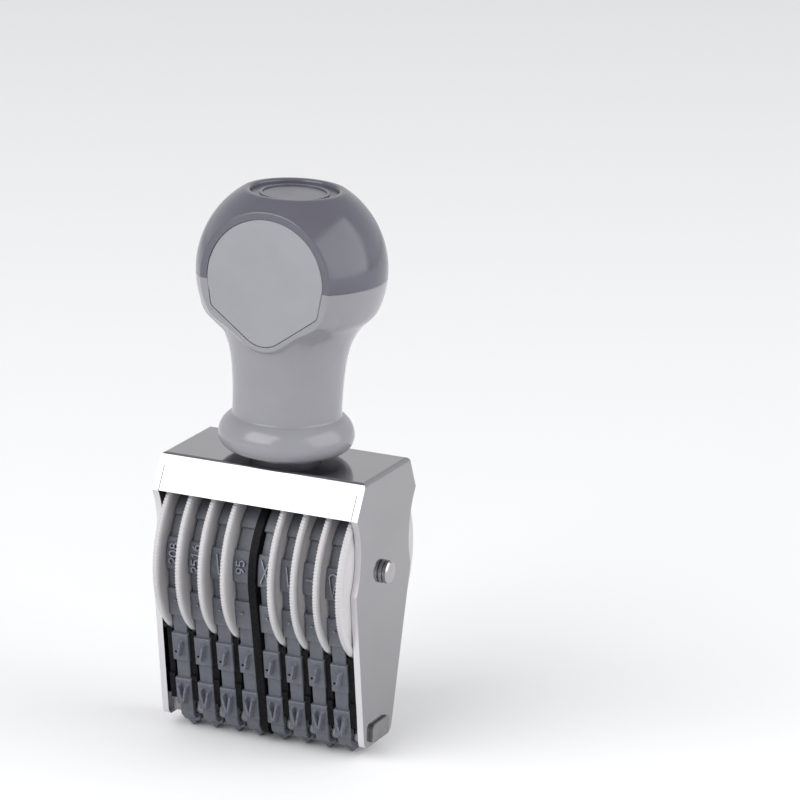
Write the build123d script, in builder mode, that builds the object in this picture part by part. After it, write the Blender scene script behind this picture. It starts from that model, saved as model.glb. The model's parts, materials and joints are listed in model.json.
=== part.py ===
"""Eight-band numbering stamp: a plated frame, finger wheels that turn rubber bands, and a ball handle.

Millimetres. The origin is on the printing face below the middle of the frame: +X runs along the
axle, +Y to the back and +Z up through the handle. Each piece is written to its own STEP file.
"""

import math
import os

from build123d import *

# Driving dimensions
# Layout along the axle
bands_per_side = 4
pad_width = 3.25  # raised pads of a band
strip_width = 2.65  # rubber strip between the pads
flange_thickness = 1.15  # finger wheel's rim
lane_gap = 0.06  # running gap on each side of a flange
divider_thickness = 1.5
divider_gap = 0.08  # running gap between the divider and the piece beside it
end_play = 0.45  # room at each end of the stack of wheels
stack_shift = 0.37  # the spring washer pushes the stack this far to the right

# Wheels and axle
wheel_radius = 17.0
drum_radius = 12.0  # inside radius of a band where it goes round its wheel
drum_gap = 0.1  # running gap between drum and band
rim_round = 0.3
axle_radius = 1.6
bore_gap = 0.05  # running gap of a wheel or a plate round the axle
axle_height = 35.2
axle_head_radius = 2.2
axle_ring = 0.3  # thickness of the ring against the plate
axle_groove = 0.3  # width of the groove behind the head
axle_head = 0.8  # thickness of the head
axle_head_chamfer = 0.3

# Bands
pads_per_band = 12
strip_thickness = 1.0
pad_height = 0.6
pad_length = 5.7
character_height = 1.4  # how far a character stands above its pad
character_root = 0.3  # how deep it is rooted in the pad
character_width = 2.5
character_length = 4.4
character_taper = 12  # degrees, every side of a character
band_creep = (0.9, 0.6, 0.35, 0.5, 0.3, 0.15, 0.25, 0.0)  # each band's own offset along its loop

# Bridge bar that the bands turn round at the printing end
bar_half_depth = 4.9
bar_thickness = 3.5
bar_round = 1.0
bar_tab_half_depth = 3.75
bar_tab_reach = 0.6  # how far a tab stands out of the side plate
bar_tab_round = 0.9
bar_slot_gap = 0.1

# Combs and divider that keep the bands apart
comb_core_height = 5.1
comb_gap = 0.15  # between the comb's core and the inside of the bands
comb_flange_gap = 0.35  # between a fin and the flange above it
fin_thickness = 1.05
fin_inset = 0.1  # of a fin's edge behind the strip's face
fin_foot_inset = 0.2  # of a fin's foot behind the pads' face
divider_head_radius = 14.3
divider_foot_inset = 0.2

# Frame, one folded sheet
sheet = 1.2
plate_lip = 0.6  # sheet below the bar's slot
top_gap = 1.0  # above the wheels and the bands
apron_gap = 0.57  # between the apron's lower edge and the wheels
shoulder_rise = 12.8  # of the apron's lower edge above the axle
apron_slope_depth = 3.4  # how far the apron leans out from top to bottom
waist_drop = 1.8  # of the side plate's lower corner below the axle
waist_half_depth = 12.4
waist_hollow = 1.9  # depth of the finger hollow between shoulder and waist
foot_half_depth = 6.0
foot_round = 1.8
waist_round = 1.0
bend_round = 0.9
apron_seam = 0.12  # slit between an apron and a side plate

# Handle
foot_radius = 6.5  # of the handle's foot on the frame
bead_radius = 12.55
bead_height = 4.1  # of the bead's widest ring above the frame
bead_under_round = 2.8
bead_over_round = 4.15
bead_neck_round = 0.4  # in the corner between bead and neck
neck_radius = 10.05
neck_flare = ((10.45, 17.0), (11.5, 22.0), (14.0, 26.0))  # radius, height above the frame
ball_radius = 17.5
ball_height = 35.2  # ball's centre above the frame
ball_join_angle = 22  # degrees below the equator where the neck runs into the ball
ball_flat_top = 14.8  # top flat above the ball's centre
seam_drop = 0.8  # seam between cap and body below the ball's centre
seam_chamfer = 0.15
flat_depth = 5.5  # of the front and rear flats into the ball
flat_round = 0.35  # edge of the flats
top_round = 1.6  # where the top flat meets the ball
core_radius = 8.8  # hollow inside the ball
neck_core_radius = 6.2
neck_core_top = 24.0  # above the frame
handle_floor = 15.0
cap_roof = 2.6  # solid between the hollow and the disc
spigot_length = 3.0
spigot_wall = 1.4
spigot_gap = 0.05

# Badges and disc let into the handle
badge_radius = 11.4
badge_shoulder_drop = 5.6
badge_shoulder_half = 10.5
badge_tip_drop = 13.3
badge_tip_round = 5.0
badge_shoulder_round = 1.6
badge_thickness = 1.2
badge_gap = 0.08
badge_edge_round = 0.2
badge_rim = 0.9  # of the flat round a badge
badge_rim_depth = 3.0
badge_rim_slope = 40  # degrees
window_radius = 8.05
window_round = 0.5  # rim of the recess
disc_thickness = 0.9
disc_sink = 0.8  # disc's face below the top flat
disc_gap = 0.08
disc_ring_radius = 6.4
disc_ring_width = 0.5
disc_ring_height = 0.25

# Screw that holds the handle to the frame
screw_radius = 2.0
screw_head_radius = 3.6
screw_head_thickness = 0.6
screw_engagement = 12.0
screw_gap = 0.1

# Spring washer at the left end of the stack
washer_inner_radius = 2.0
washer_outer_radius = 4.4
washer_thickness = 0.3
washer_gap = 0.04

# Sizes that follow
lane_start = divider_thickness / 2 + divider_gap
lane_pitch = pad_width + flange_thickness + 2 * lane_gap
drum_width = pad_width + lane_gap
stack_half = lane_start + bands_per_side * lane_pitch - lane_gap
inner_half = stack_half + end_play
outer_half = inner_half + sheet
band_count = 2 * bands_per_side
pad_face = strip_thickness + pad_height
bar_bottom = pad_face + character_height
bar_top = bar_bottom + bar_thickness
core_top = bar_top + comb_core_height
plate_foot = bar_bottom - plate_lip
sweep_radius = max(wheel_radius, drum_radius + pad_face + character_height)
frame_top = axle_height + sweep_radius + top_gap + sheet
shoulder = axle_height + shoulder_rise
waist = axle_height - waist_drop
ball_centre = frame_top + ball_height
seam = ball_centre - seam_drop
top_flat = ball_centre + ball_flat_top
flat = ball_radius - flat_depth
window_floor = top_flat - disc_sink - disc_thickness
hollow_top = window_floor - cap_roof

# A band's loop: round its drum, down two straight runs and round the bar's two lower corners
corner_y = bar_half_depth - bar_round
corner_z = bar_bottom + bar_round
centre_distance = math.hypot(corner_y, axle_height - corner_z)


def run_slope(drum, corner):
    """Angle from vertical of the straight runs between a drum and a corner of these radii."""
    lean = math.asin((drum - corner) / centre_distance)
    return lean - math.atan2(corner_y, axle_height - corner_z)


slope = run_slope(drum_radius, bar_round)
run_length = math.sqrt(centre_distance**2 - (drum_radius - bar_round) ** 2)
corner_length = (bar_round + strip_thickness / 2) * (math.pi / 2 - slope)
drum_length = (drum_radius + strip_thickness / 2) * (math.pi / 2 + slope)
half_loop = corner_y + corner_length + run_length + drum_length
pad_pitch = 2 * half_loop / pads_per_band


def loop_face(drum, corner, mode=Mode.ADD):
    """Face inside a loop round a drum and the bar's corners, in a sketch on the YZ plane."""
    lean = run_slope(drum, corner)
    out = (math.cos(lean), -math.sin(lean))
    high = (drum * out[0], axle_height + drum * out[1])
    low = (corner_y + corner * out[0], corner_z + corner * out[1])
    bend = (math.pi / 2 + lean) / 2
    middle = (corner_y + corner * math.cos(bend), corner_z - corner * math.sin(bend))
    foot = (corner_y, corner_z - corner)
    with BuildLine() as loop:
        ThreePointArc((-high[0], high[1]), (0, axle_height + drum), high)
        for side in (1, -1):
            Line((side * high[0], high[1]), (side * low[0], low[1]))
            ThreePointArc(
                (side * low[0], low[1]), (side * middle[0], middle[1]), (side * foot[0], foot[1])
            )
        Line(foot, (-foot[0], foot[1]))
    make_face(loop.edges(), mode=mode)


def on_loop(x, distance, height):
    """Plane standing on a band's loop: x along the axle, z straight out of the loop.

    The distance runs from the middle of the printing end up the front, and the height is measured
    from the inside of the band.
    """
    distance %= 2 * half_loop
    side = -1
    if distance > half_loop:
        distance = 2 * half_loop - distance
        side = 1
    turn = math.pi / 2 - slope
    radius = bar_round
    if distance < corner_y:
        y, z, turn = distance, corner_z, 0
    elif distance < corner_y + corner_length:
        y, z = corner_y, corner_z
        turn = (distance - corner_y) / (bar_round + strip_thickness / 2)
    elif distance < corner_y + corner_length + run_length:
        along = distance - corner_y - corner_length
        y, z = corner_y + along * math.sin(slope), corner_z + along * math.cos(slope)
    else:
        along = distance - corner_y - corner_length - run_length
        y, z, radius = 0, axle_height, drum_radius
        turn += along / (drum_radius + strip_thickness / 2)
    y += (radius + height) * math.sin(turn)
    z -= (radius + height) * math.cos(turn)
    return Plane(
        origin=(x, side * y, z), x_dir=(1, 0, 0), z_dir=(0, side * math.sin(turn), -math.cos(turn))
    )


def run_depth(z, height):
    """Half depth, at level z, of a face this high above the inside of a band's straight runs."""
    rise = (z - corner_z) * math.sin(slope)
    return corner_y + (bar_round + height + rise) / math.cos(slope)


def lane_x(number, offset):
    """Place along X of a point this far from its lane's inner edge, lanes counted from the left."""
    if number <= bands_per_side:
        side, lane = -1, bands_per_side - number
    else:
        side, lane = 1, number - bands_per_side - 1
    return side * (lane_start + lane * lane_pitch + offset) + stack_shift


def mirrored_polygon(points):
    """Face between these points and their mirror images in the sketch's vertical axis."""
    with BuildLine() as polygon:
        Polyline(*points, *[(-y, z) for y, z in reversed(points)], close=True)
    make_face(polygon.edges())


def bar_section(sketch, grow=0.0):
    """Draws the bar's section between the plates, with rounded lower corners."""
    with Locations((0, (bar_bottom + bar_top) / 2)):
        Rectangle(2 * (bar_half_depth + grow), bar_thickness + 2 * grow)
    fillet(sketch.vertices().group_by(Axis.Y)[0], bar_round)


def save(piece, name):
    """Labels a finished piece and writes it to its own file."""
    piece.part.label = name
    export_step(piece.part, f"parts/{name}.step")


os.makedirs("parts", exist_ok=True)


# Frame: top plate, two sloping aprons and two side plates, folded from one sheet
apron_lean = math.atan2(apron_slope_depth, frame_top - shoulder)
apron_depth = sheet / math.cos(apron_lean)  # the sheet measured level through the apron
shoulder_inner = math.sqrt((sweep_radius + apron_gap) ** 2 - shoulder_rise**2)
shoulder_half_depth = shoulder_inner + apron_depth
top_half_depth = shoulder_half_depth - apron_slope_depth
inner_top_half = top_half_depth - apron_depth + sheet * math.tan(apron_lean)
beyond = wheel_radius + frame_top  # longer than any side of the frame

with BuildPart() as frame:
    with BuildSketch(Plane.YZ) as outline:
        hollow_depth = (shoulder_half_depth + waist_half_depth) / 2 - waist_hollow
        with BuildLine():
            for side in (1, -1):
                Line((side * top_half_depth, frame_top), (side * shoulder_half_depth, shoulder))
                ThreePointArc(
                    (side * shoulder_half_depth, shoulder),
                    (side * hollow_depth, (shoulder + waist) / 2),
                    (side * waist_half_depth, waist),
                )
                Line((side * waist_half_depth, waist), (side * foot_half_depth, plate_foot))
            Line((-top_half_depth, frame_top), (top_half_depth, frame_top))
            Line((-foot_half_depth, plate_foot), (foot_half_depth, plate_foot))
        make_face()
        fillet(outline.vertices().group_by(Axis.Y)[1], waist_round)
        fillet(outline.vertices().group_by(Axis.Y)[0], foot_round)
    extrude(amount=outer_half, both=True)
    fillet(frame.edges().group_by(Axis.Z)[-1], bend_round)
    # Everything between the side plates, below the top plate and the aprons
    with BuildSketch(Plane.YZ):
        mirrored_polygon(
            [
                (inner_top_half, frame_top - sheet),
                (shoulder_inner, shoulder),
                (beyond, shoulder),
                (beyond, 0),
            ]
        )
    extrude(amount=inner_half, both=True, mode=Mode.SUBTRACT)
    # Slits where the aprons were cut free of the side plates
    slit_top = frame_top - sheet - bend_round
    for side in (1, -1):
        with BuildSketch(Plane.YZ.offset(side * (inner_half - apron_seam / 2))):
            with Locations((0, slit_top)):
                Rectangle(beyond, slit_top - shoulder, align=(Align.CENTER, Align.MAX))
        extrude(amount=apron_seam / 2, both=True, mode=Mode.SUBTRACT)
    # Axle bores and bar slots through both side plates
    with BuildSketch(Plane.YZ):
        with Locations((0, axle_height)):
            Circle(axle_radius + bore_gap)
        with Locations((0, (bar_bottom + bar_top) / 2)):
            RectangleRounded(
                2 * (bar_tab_half_depth + bar_slot_gap),
                bar_thickness + 2 * bar_slot_gap,
                bar_tab_round + bar_slot_gap,
            )
    extrude(amount=outer_half + sheet, both=True, mode=Mode.SUBTRACT)
    # Hole for the handle's screw
    with BuildSketch(Plane.XY.offset(frame_top)):
        Circle(screw_radius + screw_gap)
    extrude(amount=-2 * sheet, mode=Mode.SUBTRACT)
save(frame, "frame")


# Axle: a straight pin with a ring, a groove and a chamfered head outside each plate
with BuildPart() as axle:
    with BuildSketch(Plane.YZ):
        with Locations((0, axle_height)):
            Circle(axle_radius)
    extrude(amount=outer_half + axle_ring + axle_groove, both=True)
    for side in (1, -1):
        head_start = outer_half + axle_ring + axle_groove
        with BuildSketch(Plane.YZ.offset(side * outer_half)):
            with Locations((0, axle_height)):
                Circle(axle_head_radius)
        extrude(amount=side * axle_ring)
        with BuildSketch(Plane.YZ.offset(side * head_start)):
            with Locations((0, axle_height)):
                Circle(axle_head_radius)
        extrude(amount=side * axle_head)
    for end in (0, -1):
        chamfer(axle.edges().group_by(Axis.X)[end], axle_head_chamfer)
save(axle, "axle")


# Spring washer: a shallow cone between the left plate and the first wheel
with BuildPart() as spring_washer:
    plate_face = -inner_half
    wheel_face = stack_shift - stack_half - washer_gap
    with BuildSketch(Plane.XZ):
        with BuildLine():
            Polyline(
                (plate_face, axle_height + washer_outer_radius),
                (plate_face + washer_thickness, axle_height + washer_outer_radius),
                (wheel_face, axle_height + washer_inner_radius),
                (wheel_face - washer_thickness, axle_height + washer_inner_radius),
                close=True,
            )
        make_face()
    revolve(axis=Axis((0, 0, axle_height), (1, 0, 0)))
save(spring_washer, "spring_washer")


# Finger wheels: a rim outside its lane and a drum that fills the lane
for number in range(1, band_count + 1):
    with BuildPart() as wheel:
        with BuildSketch(Plane.YZ.offset(lane_x(number, drum_width + flange_thickness / 2))):
            with Locations((0, axle_height)):
                Circle(wheel_radius)
        extrude(amount=flange_thickness / 2, both=True)
        fillet(wheel.edges(), rim_round)
        with BuildSketch(Plane.YZ.offset(lane_x(number, drum_width / 2))):
            with Locations((0, axle_height)):
                Circle(drum_radius - drum_gap)
        extrude(amount=drum_width / 2, both=True)
        with BuildSketch(Plane.YZ):
            with Locations((0, axle_height)):
                Circle(axle_radius + bore_gap)
        extrude(amount=outer_half, both=True, mode=Mode.SUBTRACT)
    save(wheel, f"wheel_{number}")


# Bands: pads on a narrower strip, each pad with one raised character block
for number in range(1, band_count + 1):
    x = lane_x(number, pad_width / 2)
    creep = band_creep[number - 1]
    places = [creep + pad_pitch * step for step in range(pads_per_band)]
    with BuildPart() as band:
        for place in places:
            with BuildSketch(on_loop(x, place, -strip_thickness)):
                Rectangle(pad_width, pad_length)
            extrude(amount=2 * strip_thickness + 2 * pad_height)
        with BuildSketch(Plane.YZ.offset(x)):
            loop_face(drum_radius + pad_face, bar_round + pad_face)
            loop_face(drum_radius, bar_round, mode=Mode.SUBTRACT)
        extrude(amount=pad_width / 2, both=True, mode=Mode.INTERSECT)
        with BuildSketch(Plane.YZ.offset(x)):
            loop_face(drum_radius + strip_thickness, bar_round + strip_thickness)
            loop_face(drum_radius, bar_round, mode=Mode.SUBTRACT)
        extrude(amount=strip_width / 2, both=True)
        for place in places:
            with BuildSketch(on_loop(x, place, pad_face - character_root)):
                Rectangle(character_width, character_length)
            extrude(amount=character_root + character_height, taper=character_taper)
    save(band, f"band_{number}")


# Bridge bar: a rounded bar between the plates with a tab through each
with BuildPart() as bridge_bar:
    with BuildSketch(Plane.YZ) as section:
        bar_section(section)
    extrude(amount=inner_half, both=True)
    with BuildSketch(Plane.YZ):
        with Locations((0, (bar_bottom + bar_top) / 2)):
            RectangleRounded(2 * bar_tab_half_depth, bar_thickness, bar_tab_round)
    extrude(amount=outer_half + bar_tab_reach, both=True)
save(bridge_bar, "bridge_bar")


# Combs: a core on the bar inside the loops, and a fin below every flange
fin_centre = drum_width + flange_thickness / 2
fin_top = axle_height - drum_radius  # above where the fins are cut round
for name, first in (("left_comb", 1), ("right_comb", bands_per_side + 1)):
    numbers = range(first, first + bands_per_side)
    side = -1 if first == 1 else 1
    core_start = side * (divider_thickness / 2 + divider_gap) + stack_shift
    core_end = lane_x(1 if side < 0 else band_count, fin_centre + fin_thickness / 2)
    with BuildPart() as comb:
        with BuildSketch(Plane.YZ.offset((core_start + core_end) / 2)):
            mirrored_polygon(
                [(run_depth(z, -comb_gap), z) for z in (core_top, bar_top)]
            )
        extrude(amount=abs(core_end - core_start) / 2, both=True)
        for number in numbers:
            with BuildSketch(Plane.YZ.offset(lane_x(number, fin_centre))):
                mirrored_polygon(
                    [(run_depth(z, strip_thickness - fin_inset), z) for z in (fin_top, bar_top)]
                )
                mirrored_polygon(
                    [(run_depth(z, pad_face - fin_foot_inset), z) for z in (core_top, bar_top)]
                )
            extrude(amount=fin_thickness / 2, both=True)
        with BuildSketch(Plane.YZ):
            with Locations((0, axle_height)):
                Circle(wheel_radius + comb_flange_gap)
        extrude(amount=outer_half, both=True, mode=Mode.SUBTRACT)
    save(comb, name)


# Centre divider: hangs on the axle between the two groups, and the bar runs through its foot
with BuildPart() as centre_divider:
    with BuildSketch(Plane.YZ.offset(stack_shift)):
        loop_face(divider_head_radius, bar_round + pad_face - divider_foot_inset)
        with Locations((0, axle_height)):
            Circle(axle_radius + bore_gap, mode=Mode.SUBTRACT)
    extrude(amount=divider_thickness / 2, both=True)
    with BuildSketch(Plane.YZ) as section:
        bar_section(section, bar_slot_gap)
    extrude(amount=inner_half, both=True, mode=Mode.SUBTRACT)
save(centre_divider, "centre_divider")


# Handle screw: thin head under the top plate, shank up into the handle
with BuildPart() as handle_screw:
    with BuildSketch(Plane.XY.offset(frame_top - sheet - screw_head_thickness)):
        Circle(screw_head_radius)
    extrude(amount=screw_head_thickness)
    with BuildSketch(Plane.XY.offset(frame_top - sheet)):
        Circle(screw_radius)
    extrude(amount=sheet + screw_engagement)
save(handle_screw, "handle_screw")


def badge_plane(side, depth):
    """Upright plane this deep at the front (-1) or the back (1), facing out of the handle."""
    return Plane(origin=(0, side * depth, 0), x_dir=(-side, 0, 0), z_dir=(0, side, 0))


def badge_face(sketch, grow=0.0):
    """Draws a round-topped shield about the ball's centre, grown by this much all round."""
    tip = ball_centre - badge_tip_drop
    with BuildLine() as shield:
        ThreePointArc(
            (-badge_radius, ball_centre), (0, ball_centre + badge_radius), (badge_radius, ball_centre)
        )
        for side in (1, -1):
            Polyline(
                (side * badge_radius, ball_centre),
                (side * badge_shoulder_half, ball_centre - badge_shoulder_drop),
                (0, tip),
            )
    make_face(shield.edges())
    fillet(sketch.vertices().group_by(Axis.Y)[1], badge_shoulder_round)
    fillet(sketch.vertices().group_by(Axis.Y)[0], badge_tip_round)
    if grow:
        offset(amount=grow)


def cut_flats(start):
    """Cuts the front and rear flats above this level from the part that is being built."""
    with BuildSketch(Plane.XY.offset(start)) as outside:
        with Locations((0, flat), (0, -flat - ball_radius)):
            Rectangle(4 * ball_radius, ball_radius, align=(Align.CENTER, Align.MIN))
    extrude(outside.sketch, amount=4 * ball_radius, mode=Mode.SUBTRACT)


def flat_edges(piece):
    """Curved edges of the front and rear flats, without the straight ones along the seam."""
    faces = piece.faces().filter_by(GeomType.PLANE).filter_by(Axis.Y)
    return [edge for edge in faces.edges() if edge.geom_type != GeomType.LINE]


def cut_badge_pockets():
    """Cuts the pockets that the badges sit in from the part that is being built."""
    for side in (1, -1):
        with BuildSketch(badge_plane(side, flat - badge_thickness)) as pocket:
            badge_face(pocket, badge_gap)
        extrude(pocket.sketch, amount=2 * badge_thickness, mode=Mode.SUBTRACT)


# Rims with sloping sides that carry the flats past the neck, below the badges
with BuildPart() as badge_rims:
    rim_spread = badge_rim_depth * math.tan(math.radians(badge_rim_slope))
    for side in (1, -1):
        with BuildSketch(badge_plane(side, flat)) as outer:
            badge_face(outer, badge_rim)
        with BuildSketch(badge_plane(side, flat - badge_rim_depth)) as inner:
            badge_face(inner, badge_rim + rim_spread)
        loft([outer.sketch.face(), inner.sketch.face()])
    for end in (0, -1):
        fillet(badge_rims.faces().sort_by(Axis.Y)[end].edges(), flat_round)


# Handle body: foot, bead, neck and the lower part of the ball, hollow inside
seam_radius = math.sqrt(ball_radius**2 - seam_drop**2)
join_angle = math.radians(ball_join_angle)
join = (ball_radius * math.cos(join_angle), ball_centre - ball_radius * math.sin(join_angle))
half_angle = (join_angle + math.asin(seam_drop / ball_radius)) / 2
bead_end_angle = math.acos(1 - (bead_radius - neck_radius) / bead_over_round)
neck_foot = bead_height + bead_over_round * math.sin(bead_end_angle)


def on_bead(section_radius, angle):
    """Point of the bead's outline on an arc of this radius, by its angle from the widest ring."""
    out = bead_radius - section_radius * (1 - math.cos(angle))
    return (out, frame_top + bead_height + section_radius * math.sin(angle))


with BuildPart() as handle_body:
    with BuildSketch(Plane.XZ):
        with BuildLine():
            underside = on_bead(bead_under_round, -math.pi / 2)
            widest = (bead_radius, frame_top + bead_height)
            neck_start = (neck_radius, frame_top + neck_foot)
            Polyline((0, frame_top), (foot_radius, frame_top), (foot_radius, underside[1]), underside)
            ThreePointArc(underside, on_bead(bead_under_round, -math.pi / 4), widest)
            ThreePointArc(widest, on_bead(bead_over_round, bead_end_angle / 2), neck_start)
            Spline(
                neck_start,
                *[(radius, frame_top + height) for radius, height in neck_flare],
                join,
                tangents=[(0, 1), (math.sin(join_angle), math.cos(join_angle))],
            )
            ThreePointArc(
                join,
                (
                    ball_radius * math.cos(half_angle),
                    ball_centre - ball_radius * math.sin(half_angle),
                ),
                (seam_radius, seam),
            )
            Polyline((seam_radius, seam), (0, seam), (0, frame_top))
        make_face()
    revolve(axis=Axis.Z)
    corner = handle_body.edges().filter_by_position(Axis.Z, neck_start[1] - 0.01, neck_start[1] + 0.01)
    fillet(corner, bead_neck_round)
    chamfer(handle_body.edges().group_by(Axis.Z)[-1], seam_chamfer)
    cut_flats(frame_top + handle_floor)
    fillet(flat_edges(handle_body), flat_round)
    add(badge_rims.part)
    split(bisect_by=Plane.XY.offset(seam), keep=Keep.BOTTOM)
    cut_badge_pockets()
    with BuildSketch(Plane.XY.offset(frame_top + neck_core_top)):
        Circle(core_radius)
    extrude(amount=ball_radius, mode=Mode.SUBTRACT)
    with BuildSketch(Plane.XY.offset(frame_top + handle_floor)):
        Circle(neck_core_radius)
    extrude(amount=neck_core_top - handle_floor, mode=Mode.SUBTRACT)
    with BuildSketch(Plane.XY.offset(frame_top)):
        Circle(screw_radius + screw_gap)
    extrude(amount=screw_engagement + screw_radius / 2, mode=Mode.SUBTRACT)
save(handle_body, "handle_body")


# Handle cap: upper part of the ball with the recess for the disc, and a spigot into the body
top_radius = math.sqrt(ball_radius**2 - ball_flat_top**2)
rise_angle = (math.asin(ball_flat_top / ball_radius) - math.asin(seam_drop / ball_radius)) / 2
with BuildPart() as handle_cap:
    with BuildSketch(Plane.XZ):
        with BuildLine():
            ThreePointArc(
                (seam_radius, seam),
                (
                    ball_radius * math.cos(rise_angle),
                    ball_centre + ball_radius * math.sin(rise_angle),
                ),
                (top_radius, top_flat),
            )
            Polyline((top_radius, top_flat), (0, top_flat), (0, seam), (seam_radius, seam))
        make_face()
    revolve(axis=Axis.Z)
    fillet(handle_cap.edges().group_by(Axis.Z)[-1], top_round)
    chamfer(handle_cap.edges().group_by(Axis.Z)[0], seam_chamfer)
    cut_flats(seam)
    fillet(flat_edges(handle_cap), flat_round)
    cut_badge_pockets()
    with BuildSketch(Plane.XY.offset(seam)):
        Circle(core_radius)
    extrude(amount=hollow_top - seam, mode=Mode.SUBTRACT)
    with BuildSketch(Plane.XY.offset(hollow_top)):
        Circle(core_radius - spigot_gap)
        Circle(core_radius - spigot_gap - spigot_wall, mode=Mode.SUBTRACT)
    extrude(amount=seam - hollow_top - spigot_length)
    with BuildSketch(Plane.XY.offset(top_flat)):
        Circle(window_radius)
    extrude(amount=window_floor - top_flat, mode=Mode.SUBTRACT)
    rim = handle_cap.edges().filter_by(GeomType.CIRCLE).group_by(Axis.Z)[-1]
    fillet(rim.sort_by(SortBy.RADIUS)[0], window_round)
save(handle_cap, "handle_cap")


# Badges: thin shields flush with the flats
for name, side in (("front_badge", -1), ("rear_badge", 1)):
    with BuildPart() as badge:
        with BuildSketch(badge_plane(side, flat - badge_thickness)) as shield:
            badge_face(shield)
        extrude(amount=badge_thickness)
        outer = badge.faces().filter_by(Axis.Y).sort_by(Axis.Y)[0 if side < 0 else -1]
        fillet(outer.edges(), badge_edge_round)
    save(badge, name)


# Disc in the top recess, with one raised ring and no lettering
with BuildPart() as top_disc:
    with BuildSketch(Plane.XY.offset(window_floor)):
        Circle(window_radius - disc_gap)
    extrude(amount=disc_thickness)
    with BuildSketch(Plane.XY.offset(window_floor + disc_thickness)):
        Circle(disc_ring_radius)
        Circle(disc_ring_radius - disc_ring_width, mode=Mode.SUBTRACT)
    extrude(amount=disc_ring_height)
save(top_disc, "top_disc")
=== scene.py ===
"""Looks of an eight-band rotary numbering stamp: plated frame, knurled wheels, bands and handle.

It is laid out as an add-on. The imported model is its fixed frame, every length is in metres, and the
pieces that it models itself take their places from that model.
"""

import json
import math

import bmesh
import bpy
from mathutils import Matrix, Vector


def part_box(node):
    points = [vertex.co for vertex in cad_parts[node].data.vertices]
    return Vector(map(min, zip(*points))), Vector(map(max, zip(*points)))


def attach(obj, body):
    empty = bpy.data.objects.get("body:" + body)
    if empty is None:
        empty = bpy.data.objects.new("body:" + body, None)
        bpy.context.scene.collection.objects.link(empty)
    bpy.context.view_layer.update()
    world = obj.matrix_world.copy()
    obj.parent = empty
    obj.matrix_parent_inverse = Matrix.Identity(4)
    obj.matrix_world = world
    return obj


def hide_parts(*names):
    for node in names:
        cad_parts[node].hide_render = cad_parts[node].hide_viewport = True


bl_info = {
    "name": "Rotary numbering stamp",
    "version": (1, 0, 0),
    "blender": (4, 5, 0),
    "location": "3D View > Sidebar > Stamp",
    "description": "Finishes, knurled wheels, rubber bands and studio for a rotary numbering stamp",
    "category": "Object",
}

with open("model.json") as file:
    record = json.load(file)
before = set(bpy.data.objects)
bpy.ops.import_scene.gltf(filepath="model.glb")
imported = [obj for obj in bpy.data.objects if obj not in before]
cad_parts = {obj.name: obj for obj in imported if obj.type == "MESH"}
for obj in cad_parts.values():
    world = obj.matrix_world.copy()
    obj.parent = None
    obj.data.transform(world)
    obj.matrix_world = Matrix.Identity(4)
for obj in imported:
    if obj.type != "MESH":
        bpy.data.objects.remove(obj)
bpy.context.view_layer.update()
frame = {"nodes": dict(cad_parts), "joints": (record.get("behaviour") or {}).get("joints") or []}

MM = 0.001
BANDS = 8
WHEELS = [f"wheel_{number}" for number in range(1, BANDS + 1)]
AXLE_Z = frame["joints"][0]["pos_m"][2]
BAR_LOW, BAR_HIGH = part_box("bridge_bar")
SHEET = 1.2 * MM  # thickness of the folded frame
APRON_RISE = 12.8 * MM  # of the aprons' lower edges above the axle


# Sizes and colours that a user would change


class StampFinishes(bpy.types.PropertyGroup):
    """Colours of the stamp's materials."""

    plating: bpy.props.FloatVectorProperty(
        name="Plating", description="Bright plating of the frame", subtype="COLOR", size=3,
        min=0, max=1, default=(0.35, 0.346, 0.36),
    )
    # The cut edges' paler colour is a painted highlight
    cut_edge_highlight: bpy.props.FloatVectorProperty(
        name="Cut edges", description="Cut edges of the side plates", subtype="COLOR", size=3,
        min=0, max=1, default=(0.72, 0.71, 0.73),
    )
    steel: bpy.props.FloatVectorProperty(
        name="Steel", description="Darker nickel on the bar", subtype="COLOR", size=3,
        min=0, max=1, default=(0.28, 0.272, 0.28),
    )
    handle: bpy.props.FloatVectorProperty(
        name="Handle", description="Light grey moulding of the handle", subtype="COLOR", size=3,
        min=0, max=1, default=(0.245, 0.243, 0.266),
    )
    cap: bpy.props.FloatVectorProperty(
        name="Cap", description="Slate grey moulding of the cap", subtype="COLOR", size=3,
        min=0, max=1, default=(0.098, 0.096, 0.122),
    )
    badge: bpy.props.FloatVectorProperty(
        name="Badges", description="Satin plates in the flats of the ball", subtype="COLOR",
        size=3, min=0, max=1, default=(0.27, 0.268, 0.294),
    )
    rubber: bpy.props.FloatVectorProperty(
        name="Rubber", description="Slate grey rubber of the bands", subtype="COLOR", size=3,
        min=0, max=1, default=(0.085, 0.09, 0.108),
    )
    wheel: bpy.props.FloatVectorProperty(
        name="Wheels", description="Pale grey moulding of the finger wheels", subtype="COLOR",
        size=3, min=0, max=1, default=(0.5, 0.488, 0.496),
    )
    comb: bpy.props.FloatVectorProperty(
        name="Combs", description="Black moulding between the bands", subtype="COLOR", size=3,
        min=0, max=1, default=(0.004, 0.004, 0.0045),
    )


class WheelSizes(bpy.types.PropertyGroup):
    """Sizes of the finger wheels."""

    rim: bpy.props.FloatProperty(
        name="Rim", description="Thickness of the rim", unit="LENGTH", default=1.15 * MM
    )
    drum: bpy.props.FloatProperty(
        name="Drum", description="Radius of the drum in the band", unit="LENGTH", default=11.9 * MM
    )
    bore: bpy.props.FloatProperty(
        name="Bore", description="Radius of the bore", unit="LENGTH", default=1.65 * MM
    )
    teeth: bpy.props.IntProperty(
        name="Teeth", description="Teeth of the knurl", min=24, default=164
    )
    tooth_depth: bpy.props.FloatProperty(
        name="Tooth depth", description="Depth of the knurl", unit="LENGTH", default=0.33 * MM
    )


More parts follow.
